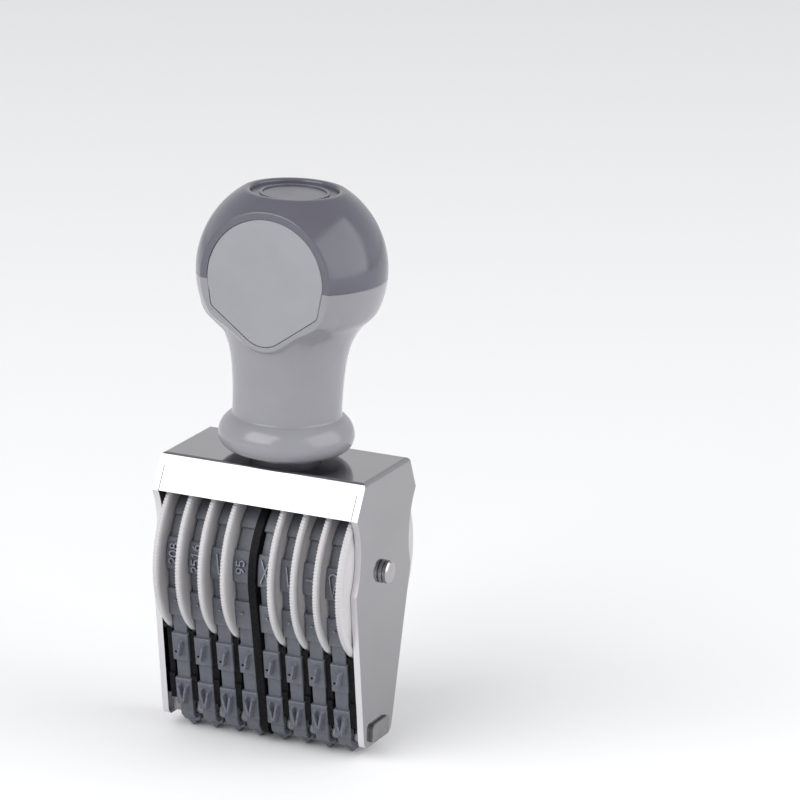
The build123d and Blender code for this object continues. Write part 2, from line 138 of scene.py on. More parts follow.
class BandSizes(bpy.types.PropertyGroup):
    """Sizes of the rubber bands."""

    drum: bpy.props.FloatProperty(
        name="Inside radius", description="Inside of a band on its drum", unit="LENGTH",
        default=12.0 * MM,
    )
    bar_round: bpy.props.FloatProperty(
        name="Bar rounding", description="Radius of the bar's lower corners", unit="LENGTH",
        default=1.0 * MM,
    )
    strip_width: bpy.props.FloatProperty(
        name="Strip width", description="Width of the strip between pads", unit="LENGTH",
        default=2.65 * MM,
    )
    strip_thickness: bpy.props.FloatProperty(
        name="Strip thickness", description="Thickness of the strip", unit="LENGTH",
        default=1.0 * MM,
    )
    pad_height: bpy.props.FloatProperty(
        name="Pad height", description="Pad above the strip", unit="LENGTH", default=0.6 * MM
    )
    pad_length: bpy.props.FloatProperty(
        name="Pad length", description="Length of a pad along the band", unit="LENGTH",
        default=5.7 * MM,
    )
    character_size: bpy.props.FloatVectorProperty(
        name="Character", description="Width and length of a character", unit="LENGTH", size=2,
        default=(1.9 * MM, 3.9 * MM),
    )
    pit: bpy.props.FloatVectorProperty(
        name="Pit", description="Radius and depth of the pit in the third pad", unit="LENGTH",
        size=2, default=(0.25 * MM, 0.4 * MM),
    )
    printing: bpy.props.FloatVectorProperty(
        name="Printing relief", description="Height of the lowest signs, their face and their foot",
        unit="LENGTH", size=3, default=(1.4 * MM, 0.14 * MM, 2.1 * MM),
    )
    bold: bpy.props.FloatVectorProperty(
        name="Bold relief", description="Height of the next two signs, their face and their foot",
        unit="LENGTH", size=3, default=(1.1 * MM, 0.36 * MM, 1.0 * MM),
    )
    fine: bpy.props.FloatVectorProperty(
        name="Fine relief", description="Height of the other signs, their face and their foot",
        unit="LENGTH", size=3, default=(0.5 * MM, 0.22 * MM, 0.34 * MM),
    )


class StudioSettings(bpy.types.PropertyGroup):
    """Camera and lights."""

    azimuth: bpy.props.FloatProperty(
        name="Azimuth", description="Camera's turn about the stamp", subtype="ANGLE",
        default=math.radians(22.72),
    )
    elevation: bpy.props.FloatProperty(
        name="Elevation", description="Camera's height above level", subtype="ANGLE",
        default=math.radians(15.63),
    )
    roll: bpy.props.FloatProperty(
        name="Roll", description="Camera's tilt to one side", subtype="ANGLE",
        default=math.radians(2.31),
    )
    distance: bpy.props.FloatProperty(
        name="Distance", description="Camera from its aim", unit="LENGTH", default=0.9448
    )
    lens: bpy.props.FloatProperty(name="Lens", description="Focal length in mm", default=231.7)
    aim: bpy.props.FloatVectorProperty(
        name="Aim", description="Point that the camera looks at", subtype="XYZ", size=3,
        default=(0.01762, 0.01109, 0.06464),
    )
    floor: bpy.props.FloatVectorProperty(
        name="Floor", description="Colour of the floor", subtype="COLOR", size=3, min=0, max=1,
        default=(0.92, 0.92, 0.925),
    )
    horizon: bpy.props.FloatProperty(
        name="Horizon", description="Strength of the surround near the floor", min=0, default=0.82
    )
    zenith: bpy.props.FloatProperty(
        name="Zenith", description="Strength of the surround overhead", min=0, default=0.46
    )


# Shared effects, as node groups


def node_group(name, inputs, outputs):
    """New shader group with these sockets, and its two end nodes."""
    group = bpy.data.node_groups.new(name, "ShaderNodeTree")
    for label, kind, value in inputs:
        socket = group.interface.new_socket(label, in_out="INPUT", socket_type=kind)
        socket.default_value = value
    for label, kind in outputs:
        group.interface.new_socket(label, in_out="OUTPUT", socket_type=kind)
    return group, group.nodes.new("NodeGroupInput"), group.nodes.new("NodeGroupOutput")


def feed(tree, socket, value):
    """Links a socket from another one, or sets it to a number or a colour."""
    if isinstance(value, bpy.types.NodeSocket):
        tree.links.new(value, socket)
    elif isinstance(value, (int, float)):
        socket.default_value = value
    else:
        socket.default_value = (*value[:3], 1)


def object_place(tree):
    """Place on the piece, in metres."""
    return tree.nodes.new("ShaderNodeTexCoord").outputs["Object"]


def noise_node(tree, place, scale, detail, roughness=0.55):
    """Noise over a place, from 0 to 1."""
    noise = tree.nodes.new("ShaderNodeTexNoise")
    tree.links.new(place, noise.inputs["Vector"])
    feed(tree, noise.inputs["Scale"], scale)
    noise.inputs["Detail"].default_value = detail
    noise.inputs["Roughness"].default_value = roughness
    return noise.outputs[0]


def range_node(tree, source, low, high, first=0.0, last=1.0):
    """Maps a value from low..high to first..last."""
    ramp = tree.nodes.new("ShaderNodeMapRange")
    values = {"Value": source, "From Min": low, "From Max": high, "To Min": first, "To Max": last}
    for label, value in values.items():
        feed(tree, ramp.inputs[label], value)
    return ramp.outputs["Result"]


def math_node(tree, operation, *values):
    """Math node on sockets or numbers."""
    node = tree.nodes.new("ShaderNodeMath")
    node.operation = operation
    for socket, value in zip(node.inputs, values):
        feed(tree, socket, value)
    return node.outputs[0]


def mix_node(tree, factor, first, second):
    """Colour mix of two sockets or colours."""
    node = tree.nodes.new("ShaderNodeMix")
    node.data_type = "RGBA"
    ends = (node.inputs[0], node.inputs[6], node.inputs[7])  # the colour mix's own sockets
    for socket, value in zip(ends, (factor, first, second)):
        feed(tree, socket, value)
    return node.outputs[2]


def grain_group():
    """Fine moulded grain: a height for bump and a mask that varies with it."""
    group, start, end = node_group(
        "moulded grain",
        [("Scale", "NodeSocketFloat", 9000), ("Coarse", "NodeSocketFloat", 600)],
        [("Height", "NodeSocketFloat"), ("Mask", "NodeSocketFloat")],
    )
    place = object_place(group)
    fine = noise_node(group, place, start.outputs["Scale"], 2)
    coarse = noise_node(group, place, start.outputs["Coarse"], 3)
    height = math_node(group, "MULTIPLY_ADD", coarse, 0.6, fine)
    group.links.new(height, end.inputs["Height"])
    group.links.new(range_node(group, coarse, 0.35, 0.65), end.inputs["Mask"])
    return group


def drift_group():
    """Slow drift of a colour over the piece, as in moulded plastic and aged plating."""
    group, start, end = node_group(
        "colour drift",
        [
            ("Colour", "NodeSocketColor", (0.5, 0.5, 0.5, 1)),
            ("Shade", "NodeSocketColor", (0.4, 0.4, 0.4, 1)),
            ("Scale", "NodeSocketFloat", 90),
        ],
        [("Colour", "NodeSocketColor")],
    )
    noise = noise_node(group, object_place(group), start.outputs["Scale"], 4)
    mask = range_node(group, noise, 0.3, 0.7)
    mixed = mix_node(group, mask, start.outputs["Colour"], start.outputs["Shade"])
    group.links.new(mixed, end.inputs["Colour"])
    return group


def edge_wear_and_hollow_shade_group():
    """Mask of exposed edges, broken up by noise; with Low above High it masks hollows instead, for
    painted shade.
    """
    group, start, end = node_group(
        "worn edges",
        [
            ("Low", "NodeSocketFloat", 0.52),
            ("High", "NodeSocketFloat", 0.6),
            ("Breakup", "NodeSocketFloat", 700),
        ],
        [("Mask", "NodeSocketFloat")],
    )
    pointiness = group.nodes.new("ShaderNodeNewGeometry").outputs["Pointiness"]
    edge = range_node(group, pointiness, start.outputs["Low"], start.outputs["High"])
    noise = noise_node(group, object_place(group), start.outputs["Breakup"], 3)
    broken = range_node(group, noise, 0.3, 0.6)
    group.links.new(math_node(group, "MULTIPLY", edge, broken), end.inputs["Mask"])
    return group


def smudge_group():
    """Faint finger marks and hairline rubbing, as a mask for roughness."""
    group, start, end = node_group(
        "handling marks",
        [("Marks", "NodeSocketFloat", 160), ("Hairlines", "NodeSocketFloat", 1500)],
        [("Mask", "NodeSocketFloat")],
    )
    place = object_place(group)
    marks = noise_node(group, place, start.outputs["Marks"], 5, 0.6)
    stretch = group.nodes.new("ShaderNodeMapping")
    stretch.inputs["Scale"].default_value = (1, 0.12, 0.05)
    stretch.inputs["Rotation"].default_value = (0.5, 0.2, 0.9)
    group.links.new(place, stretch.inputs["Vector"])
    hairs = noise_node(group, stretch.outputs[0], start.outputs["Hairlines"], 2)
    patches = range_node(group, marks, 0.42, 0.68)
    lines = range_node(group, hairs, 0.58, 0.7)
    group.links.new(math_node(group, "MAXIMUM", patches, lines), end.inputs["Mask"])
    return group


GROUP_MAKERS = {
    "moulded grain": grain_group,
    "colour drift": drift_group,
    "worn edges": edge_wear_and_hollow_shade_group,
    "handling marks": smudge_group,
}
GROUPS = {}


def place_group(tree, label, **values):
    """Adds a shared effect to a material, built the first time it is asked for."""
    if label not in GROUPS:
        GROUPS[label] = GROUP_MAKERS[label]()
    node = tree.nodes.new("ShaderNodeGroup")
    node.node_tree = GROUPS[label]
    for name, value in values.items():
        node.inputs[name].default_value = value
    return node


# Materials


def shaded(colour, factor):
    """Colour darkened or lightened by a factor, as four numbers."""
    return (*(min(1.0, channel * factor) for channel in colour), 1)


def blank_material(name, roughness, metallic=0.0, **constants):
    """Material with a Principled shader whose constant sockets are set here."""
    material = bpy.data.materials.new(name)
    material.use_nodes = True
    shader = material.node_tree.nodes["Principled BSDF"]
    shader.inputs["Roughness"].default_value = roughness
    shader.inputs["Metallic"].default_value = metallic
    for label, value in constants.items():
        shader.inputs[label.replace("_", " ")].default_value = value
    return material, material.node_tree, shader


def colour_piece(tree, shader, colour, light, shade, scale):
    """Colour that drifts between two shades, into the shader; returns it for edges to cover."""
    drift = place_group(
        tree, "colour drift", Colour=shaded(colour, light), Shade=shaded(colour, shade), Scale=scale
    )
    tree.links.new(drift.outputs[0], shader.inputs["Base Color"])
    return drift.outputs[0]


def edge_wear_and_hollow_shade(tree, shader, colour, worn, low, high, breakup):
    """Another colour where edges are exposed, for wear; with Low above High it goes into the hollows
    instead, as painted shade.
    """
    wear = place_group(tree, "worn edges", Low=low, High=high, Breakup=breakup)
    covered = mix_node(tree, wear.outputs[0], colour, worn)
    tree.links.new(covered, shader.inputs["Base Color"])


def add_bump(tree, shader, height, strength, distance):
    """Bump from a height socket, this deep where it goes from 0 to 1, into the shader's normal."""
    bump = tree.nodes.new("ShaderNodeBump")
    bump.inputs["Strength"].default_value = strength
    bump.inputs["Distance"].default_value = distance
    tree.links.new(height, bump.inputs["Height"])
    tree.links.new(bump.outputs["Normal"], shader.inputs["Normal"])


def vary_roughness(tree, shader, mask, low, high):
    """Roughness from low to high where a mask goes from 0 to 1."""
    tree.links.new(range_node(tree, mask, 0, 1, low, high), shader.inputs["Roughness"])


def cut_edge_mask(tree):
    """Mask of the side plates' cut edges below the aprons, which face along the plates' planes."""
    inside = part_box("frame")[1].x - SHEET - 0.05 * MM
    place = object_place(tree)
    normal = tree.nodes.new("ShaderNodeNewGeometry").outputs["Normal"]
    mask = 1.0
    for source, axis, comparison, limit in (
        (place, "X", "GREATER_THAN", inside),
        (normal, "X", "LESS_THAN", 0.5),
        (place, "Z", "LESS_THAN", AXLE_Z + APRON_RISE),
    ):
        split = tree.nodes.new("ShaderNodeSeparateXYZ")
        tree.links.new(source, split.inputs[0])
        size = math_node(tree, "ABSOLUTE", split.outputs[axis])
        mask = math_node(tree, "MULTIPLY", mask, math_node(tree, comparison, size, limit))
    return mask


def plating_material():
    """Bright plated sheet, a little wavy, with finger marks, and duller cut edges whose paler colour
    is a painted highlight.
    """
    finishes = bpy.context.scene.stamp_finishes
    material, tree, shader = blank_material("bright plating", 0.08, metallic=1.0)
    plated = colour_piece(tree, shader, finishes.plating, 1, 0.93, 60)
    edge = cut_edge_mask(tree)
    # Cut edges take a paler colour: a painted highlight
    tree.links.new(mix_node(tree, edge, plated, finishes.cut_edge_highlight), shader.inputs["Base Color"])
    marks = place_group(tree, "handling marks", Marks=130, Hairlines=1700)
    rubbed = math_node(tree, "MULTIPLY_ADD", marks.outputs[0], 0.06, 0.07)
    dulled = math_node(tree, "MULTIPLY_ADD", edge, 0.25, rubbed)
    tree.links.new(dulled, shader.inputs["Roughness"])
    waves = noise_node(tree, object_place(tree), 70, 1)
    add_bump(tree, shader, waves, 0.25, 0.2 * MM)
    return material


def steel_material(name, factor, roughness):
    """Turned or pressed nickel-plated steel with fine lines."""
    colour = bpy.context.scene.stamp_finishes.steel
    material, tree, shader = blank_material(name, roughness, metallic=1.0)
    colour_piece(tree, shader, colour, factor, factor * 0.8, 300)
    marks = place_group(tree, "handling marks", Marks=500, Hairlines=4000)
    vary_roughness(tree, shader, marks.outputs[0], roughness, roughness + 0.12)
    grain = place_group(tree, "moulded grain", Scale=12000, Coarse=2500)
    add_bump(tree, shader, grain.outputs["Height"], 0.12, 0.04 * MM)
    return material


def gloss_material(name, colour, roughness=0.16, grained=0.05):
    """Glossy or satin moulding with faint handling marks."""
    material, tree, shader = blank_material(name, roughness)
    colour_piece(tree, shader, colour, 1.03, 0.95, 110)
    marks = place_group(tree, "handling marks", Marks=210, Hairlines=2600)
    vary_roughness(tree, shader, marks.outputs[0], roughness, roughness + 0.08)
    grain = place_group(tree, "moulded grain", Scale=7000, Coarse=420)
    add_bump(tree, shader, grain.outputs["Height"], grained, 0.05 * MM)
    return material


def wheel_material():
    """Pale moulding of the finger wheels, with painted shade in the hollows of the knurl."""
    colour = bpy.context.scene.stamp_finishes.wheel
    material, tree, shader = blank_material("wheel moulding", 0.42)
    moulded = colour_piece(tree, shader, colour, 1.02, 0.96, 160)
    # Low above high: the hollows of the knurl take a painted shade, not its tips
    edge_wear_and_hollow_shade(tree, shader, moulded, shaded(colour, 0.8), 0.48, 0.42, 900)
    grain = place_group(tree, "moulded grain", Scale=8000, Coarse=900)
    vary_roughness(tree, shader, grain.outputs["Mask"], 0.38, 0.5)
    add_bump(tree, shader, grain.outputs["Height"], 0.15, 0.04 * MM)
    return material


def rubber_material(name, factor):
    """Slate grey rubber, paler on the edges that rub."""
    colour = shaded(bpy.context.scene.stamp_finishes.rubber, factor)[:3]
    material, tree, shader = blank_material(name, 0.5)
    moulded = colour_piece(tree, shader, colour, 1.06, 0.94, 420)
    edge_wear_and_hollow_shade(tree, shader, moulded, shaded(colour, 1.6), 0.53, 0.64, 1600)
    grain = place_group(tree, "moulded grain", Scale=9000, Coarse=1500)
    vary_roughness(tree, shader, grain.outputs["Mask"], 0.42, 0.62)
    add_bump(tree, shader, grain.outputs["Height"], 0.2, 0.04 * MM)
    return material


def comb_material():
    """Matt black moulding, a little paler on its edges."""
    colour = bpy.context.scene.stamp_finishes.comb
    material, tree, shader = blank_material("black moulding", 0.4, Specular_IOR_Level=0.05)
    moulded = colour_piece(tree, shader, colour, 1, 1.4, 300)
    edge_wear_and_hollow_shade(tree, shader, moulded, shaded(colour, 4), 0.55, 0.68, 1500)
    grain = place_group(tree, "moulded grain", Scale=8000, Coarse=1800)
    vary_roughness(tree, shader, grain.outputs["Mask"], 0.36, 0.46)
    add_bump(tree, shader, grain.outputs["Height"], 0.1, 0.03 * MM)
    return material


# Mesh helpers


def finish_node(node, material):
    """Gives a CAD node's object this material in every slot."""
    piece = frame["nodes"][node]
    piece.data.materials.clear()
    piece.data.materials.append(material)


def add_piece(name, bm, node, body, slot, *materials):
    """Makes an object of a bmesh that stands for a CAD node and moves with a body."""
    bmesh.ops.recalc_face_normals(bm, faces=bm.faces)
    mesh = bpy.data.meshes.new(name)
    bm.to_mesh(mesh)
    bm.free()
    for material in materials:
        mesh.materials.append(material)
    piece = bpy.data.objects.new(name, mesh)
    bpy.context.scene.collection.objects.link(piece)
    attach(piece, body)
    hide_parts(node)
    return piece


def smooth_by_angle(piece, degrees):
    """Shades smooth, with edges sharper than this left crisp."""
    mesh = piece.data
    mesh.polygons.foreach_set("use_smooth", [True] * len(mesh.polygons))
    mesh.set_sharp_from_angle(angle=math.radians(degrees))


def join_rings(bm, rings, closed):
    """Faces between rings of vertices, with end caps unless the rings close on themselves."""
    count = len(rings[0])
    pairs = list(zip(rings, rings[1:] + rings[:1])) if closed else list(zip(rings, rings[1:]))
    for near, far in pairs:
        for index in range(count):
            after = (index + 1) % count
            bm.faces.new((near[index], near[after], far[after], far[index]))
    if not closed:
        bm.faces.new(rings[0])
        bm.faces.new(reversed(rings[-1]))


# Finger wheels

TOOTH_POINTS = 6  # round the rim for each tooth


def knurled_wheel(node, sizes):
    """Lathed wheel whose rim carries the knurl, on the place of its CAD node."""
    low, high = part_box(node)
    radius = high.z - AXLE_Z
    outward = -1 if low.x + high.x < 2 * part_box("centre_divider")[0].x else 1
    face = high.x if outward > 0 else low.x
    width = high.x - low.x
    # Corners of the rim, along the axle and towards it
    crisp, soft = Vector((0.22, 0.36)) * MM, Vector((0.42, 0.9)) * MM
    near, away = (soft, crisp) if outward > 0 else (crisp, soft)
    arc = [math.radians(18 * step) for step in range(6)]
    # Each rim point's share of a dip: full at the crisp left corner, fading over the rim
    shares = [1, 1, 1, 0.8, 0.55, 0.35, 0.25, 0.2, 0.15, 0.1, 0.05, 0]
    if outward > 0:
        shares.reverse()
    rim = []  # depth, radius, and how a dip moves them
    for turn in reversed(arc):
        depth, fall = near.x * (1 - math.sin(turn)), near.y * (1 - math.cos(turn))
        rim.append((depth, radius - fall, math.sin(turn), -math.cos(turn)))
    for turn in arc:
        depth, fall = away.x * (1 - math.sin(turn)), away.y * (1 - math.cos(turn))
        rim.append((sizes.rim - depth, radius - fall, -math.sin(turn), -math.cos(turn)))
    groove = 0.12 * MM  # depth of the shallow groove inside the rim
    outline = [
        (0, sizes.bore, 0, 0),
        (0, radius - 3.2 * MM, 0, 0),
        (groove, radius - 3.0 * MM, 0, 0),
        (groove, radius - near.y - 0.4 * MM, 0, 0),
        (0, radius - near.y - 0.2 * MM, 0, 0),
        *[(*spot[:2], share * spot[2], share * spot[3]) for spot, share in zip(rim, shares)],
        (sizes.rim, radius - away.y - 0.3 * MM, 0, 0),
        (sizes.rim, sizes.drum, 0, 0),
        (width, sizes.drum, 0, 0),
        (width, sizes.bore, 0, 0),
    ]
    steps = sizes.teeth * TOOTH_POINTS
    bm = bmesh.new()
    rings = []
    for step in range(steps):
        turn = 2 * math.pi * step / steps
        dip = sizes.tooth_depth * (1 - abs(math.cos(sizes.teeth * turn / 2))) ** 0.5
        ring = []
        for depth, reach, inward, down in outline:
            reach += dip * down
            across = face - outward * (depth + dip * inward)
            place = (across, reach * math.sin(turn), AXLE_Z + reach * math.cos(turn))
            ring.append(bm.verts.new(place))
        rings.append(ring)
    join_rings(bm, rings, closed=True)
    return bm


class STAMP_OT_wheels(bpy.types.Operator):
    """Models the finger wheels with their knurled rims"""

    bl_idname = "stamp.wheels"
    bl_label = "Finger wheels"

    def execute(self, context):
        material = wheel_material()
        for node in WHEELS:
            bm = knurled_wheel(node, context.scene.wheel_sizes)
            wheel = add_piece(f"{node}_knurled", bm, node, node, "wheel_plastic", material)
            smooth_by_angle(wheel, 40)
        return {"FINISHED"}


# Rubber bands


def bow(x, y, width, height, start, end, steps=12):
    """Points of an elliptical bow, in degrees."""
    turns = [math.radians(start + (end - start) * step / steps) for step in range(steps + 1)]
    return [(x + width * math.cos(turn), y + height * math.sin(turn)) for turn in turns]


# Strokes of each character, in a box one unit wide and one high about its middle
CHARACTERS = {
    "0": [bow(0, 0, 0.46, 0.5, 90, 450, 20)],
    "1": [[(-0.3, 0.28), (0.05, 0.5), (0.05, -0.5)]],
    "2": [bow(0, 0.21, 0.45, 0.29, 165, -25) + [(-0.45, -0.5), (0.48, -0.5)]],
    "3": [bow(0, 0.24, 0.42, 0.26, 150, -90), bow(0, -0.24, 0.46, 0.26, 90, -150)],
    "4": [[(0.22, -0.5), (0.22, 0.5), (-0.48, -0.18), (0.5, -0.18)]],
    "5": [[(0.42, 0.5), (-0.34, 0.5), (-0.4, 0.04)] + bow(0, -0.18, 0.45, 0.32, 125, -150)],
    "6": [bow(0, -0.2, 0.44, 0.3, 90, 450, 16), [(-0.44, -0.16), (-0.3, 0.24), (0.22, 0.5)]],
    "7": [[(-0.45, 0.5), (0.45, 0.5), (-0.12, -0.5)]],
    "8": [bow(0, 0.25, 0.37, 0.25, -90, 270, 16), bow(0, -0.25, 0.45, 0.25, 90, 450, 16)],
    "9": [bow(0, 0.2, 0.44, 0.3, 90, 450, 16), [(0.44, 0.16), (0.3, -0.24), (-0.22, -0.5)]],
    "dash": [[(-0.32, 0), (0.32, 0)]],
    "bar": [[(0.16, 0.42), (-0.16, -0.42)]],
    "dots": [bow(0.1, 0.22, 0.1, 0.05, 0, 360, 8), bow(0.1, -0.1, 0.1, 0.05, 0, 360, 8)],
    "mark": [[(0, 0.2), (0.02, 0.12)]],
    "point": [[(0.1, 0.4), (0.1, -0.4)]],
    "cross": [[(0.42, 0.5), (-0.42, -0.5)], [(-0.42, 0.5), (0.42, -0.5)]],
    "slash": [[(-0.24, 0.4), (0.1, -0.34)]],
    "tick": [[(-0.42, 0.42), (0, -0.5)], [(0.42, 0.42), (0, -0.5)]],
    "drop": [[(0, -0.5), (-0.36, 0.2)] + bow(0, 0.3, 0.38, 0.18, 190, -10, 10) + [(0, -0.5)]],
}
BAND_CREEP = (0.9, 0.6, 0.35, 0.5, 0.3, 0.15, 0.25, 0.0)  # mm, each band's offset along its loop
DRUM_SIGNS = ("208", "2516", "bar", "95", "cross", "bar", "dash", "drop")  # fifth pad of each band
TOP_SIGNS = ("31", "415", "706", "dots", "dash", "6", "09", "250")  # seventh pad
PADS = 12
PAD_SPANS = 8  # of a pad's upper face along the band
STRIP_STEP = 0.45 * MM  # between the rings of a strip
PLAIN, RUBBED_AND_SHEEN, PIT_SHADE = range(3)  # a band's materials
PIT_SIDES = 8
PIT_OFFSET = 0.95 * MM  # of a pit to one side of its pad's middle
STROKE_ROOT = 0.1 * MM  # depth of a stroke's foot in its pad
MITER_LIMIT = 1.5  # how much wider a stroke may grow in a bend
DIGIT_PITCH = 0.32  # of the small digits of a number, as a share of a character's length
DIGIT_SHARES = (0.8, 0.25)  # their height over the character's width, their width over its length


class BandLoop:
    """The path of a band round its drum and the bar, from its inside face."""

    def __init__(self, sizes):
        self.corner = sizes.bar_round
        self.drum = sizes.drum
        self.corner_y = BAR_HIGH.y - self.corner
        self.corner_z = BAR_LOW.z + self.corner
        rise = AXLE_Z - self.corner_z
        reach = math.hypot(self.corner_y, rise)
        self.slope = math.asin((self.drum - self.corner) / reach) - math.atan2(self.corner_y, rise)
        self.middle = sizes.strip_thickness / 2
        self.corner_length = (self.corner + self.middle) * (math.pi / 2 - self.slope)
        self.run = math.sqrt(reach**2 - (self.drum - self.corner) ** 2)
        drum_length = (self.drum + self.middle) * (math.pi / 2 + self.slope)
        self.half = self.corner_y + self.corner_length + self.run + drum_length

    def point(self, x, distance, height):
        """Place of a point this far along the loop and this high above its inside."""
        distance %= 2 * self.half
        side = -1
        if distance > self.half:
            distance = 2 * self.half - distance
            side = 1
        turn = math.pi / 2 - self.slope
        radius = self.corner
        y, z = self.corner_y, self.corner_z
        past_corner = distance - self.corner_y - self.corner_length
        if distance < self.corner_y:
            y, turn = distance, 0
        elif past_corner < 0:
            turn = (distance - self.corner_y) / (self.corner + self.middle)
        elif past_corner < self.run:
            y += past_corner * math.sin(self.slope)
            z += past_corner * math.cos(self.slope)
        else:
            y, z, radius = 0, AXLE_Z, self.drum
            turn += (past_corner - self.run) / (self.drum + self.middle)
        y += (radius + height) * math.sin(turn)
        z -= (radius + height) * math.cos(turn)
        return Vector((x, side * y, z))


def add_strip(bm, loop, x, sizes):
    """The plain strip of a band, with rounded edges."""
    half, thick, soft = sizes.strip_width / 2, sizes.strip_thickness, 0.12 * MM
    section = [
        (-half, soft), (-half, thick - soft), (-half + soft, thick), (half - soft, thick),
        (half, thick - soft), (half, soft), (half - soft, 0), (-half + soft, 0),
    ]
    steps = int(2 * loop.half / STRIP_STEP)
    rings = []
    for step in range(steps):
        distance = 2 * loop.half * step / steps
        rings.append([bm.verts.new(loop.point(x + across, distance, up)) for across, up in section])
    join_rings(bm, rings, closed=True)


def add_pad(bm, loop, x, place, width, sizes):
    """One raised pad, curved with the loop, with softened upper edges."""
    top, soft, low = sizes.strip_thickness + sizes.pad_height, 0.14 * MM, 0.06 * MM
    half, length = width / 2, sizes.pad_length / 2
    spans = [-1 + 2 * step / PAD_SPANS for step in range(1, PAD_SPANS)]
    stations = [(-length, top - soft), (-length + soft, top)]
    stations += [(span * (length - soft), top) for span in spans]
    stations += [(length - soft, top), (length, top - soft)]
    rings = []
    for along, peak in stations:
        section = [
            (-half, low), (-half, peak - soft), (-half + soft, peak),
            (half - soft, peak), (half, peak - soft), (half, low),
        ]
        points = [loop.point(x + across, place + along, up) for across, up in section]
        rings.append([bm.verts.new(point) for point in points])
    join_rings(bm, rings, closed=False)
    return rings


def add_pit(bm, loop, x, place, rings, sizes):
    """A small round pit in the upper face of a pad, between its fourth and fifth rings."""
    near, far = rings[3], rings[4]
    left_near, right_near, left_far, right_far = near[2], near[3], far[2], far[3]
    bm.faces.remove(bm.faces.get((left_near, right_near, right_far, left_far)))
    top = sizes.strip_thickness + sizes.pad_height
    radius, depth = sizes.pit
    along = place + (2.5 / PAD_SPANS - 0.5) * sizes.pad_length
    turns = [2 * math.pi * side / PIT_SIDES for side in range(PIT_SIDES)]
    mouth, floor = (
        [
            bm.verts.new(
                loop.point(
                    x - PIT_OFFSET + radius * math.cos(turn), along + radius * math.sin(turn), up
                )
            )
            for turn in turns
        ]
        for up in (top, top - depth)
    )
    half = PIT_SIDES // 2
    bm.faces.new((right_near, right_far, mouth[0]))
    bm.faces.new((left_far, left_near, mouth[half]))
    bm.faces.new((left_near, right_near, mouth[0], *mouth[: half - 1 : -1]))
    bm.faces.new((right_far, left_far, *mouth[half::-1]))
    # Walls and floor of the pit take near-black rubber: painted shade
    for side in range(PIT_SIDES):
        after = (side + 1) % PIT_SIDES
        wall = bm.faces.new((mouth[side], mouth[after], floor[after], floor[side]))
        wall.material_index = PIT_SHADE
    bm.faces.new(floor).material_index = PIT_SHADE


def add_stroke(bm, loop, x, place, points, relief, face_slot, sizes):
    """One stroke of a character: a ridge with sloping sides on its pad, and its face's material."""
    width, length = sizes.character_size
    height, face, foot = relief
    pad_top = sizes.strip_thickness + sizes.pad_height
    low, high = pad_top - STROKE_ROOT, pad_top + height
    # Mirror writing: a character is turned over from left to right
    path = [Vector((-u * width, v * length)) for u, v in points]
    closed = (path[0] - path[-1]).length < face
    if closed:
        path = path[:-1]
    count = len(path)
    rings = []
    for index, spot in enumerate(path):
        before = path[index - 1] if index or closed else spot
        after = path[(index + 1) % count] if index < count - 1 or closed else spot
        into = (spot - before).normalized() if spot != before else (after - spot).normalized()
        away = (after - spot).normalized() if after != spot else into
        along = (into + away).normalized()
        across = Vector((-along.y, along.x))
        miter = min(MITER_LIMIT, 1 / max(0.5, across.dot(Vector((-into.y, into.x)))))
        spread = Vector((0, 0))
        if not closed and index in (0, count - 1):
            spread = along * (foot - face) / 2 * (1 if index else -1)
        corners = [
            (spot - across * foot / 2 * miter + spread, low),
            (spot - across * face / 2 * miter, high),
            (spot + across * face / 2 * miter, high),
            (spot + across * foot / 2 * miter + spread, low),
        ]
        rings.append(
            [bm.verts.new(loop.point(x + corner.x, place + corner.y, up)) for corner, up in corners]
        )
    join_rings(bm, rings, closed)
    upper = {vertex for ring in rings for vertex in ring[1:3]}
    for face in {face for vertex in upper for face in vertex.link_faces}:
        if upper.issuperset(face.verts):
            face.material_index = face_slot


def sign_strokes(sign):
    """Strokes of a sign, or of a number of a few small digits that runs along the band."""
    if sign in CHARACTERS:
        return CHARACTERS[sign]
    strokes = []
    for index, digit in enumerate(sign):
        shift = DIGIT_PITCH * (index - (len(sign) - 1) / 2)
        tall, wide = DIGIT_SHARES
        for points in CHARACTERS[digit]:
            strokes.append([(tall * v, shift + wide * u) for u, v in points])
    return strokes


def band_signs(number):
    """The characters of one band, from its printing end up the front and down the back."""
    front = ["point", "tick", "slash", "mark", DRUM_SIGNS[number - 1], "", TOP_SIGNS[number - 1]]
    return front + [str((number * 3 + step) % 10) for step in range(PADS - len(front))]


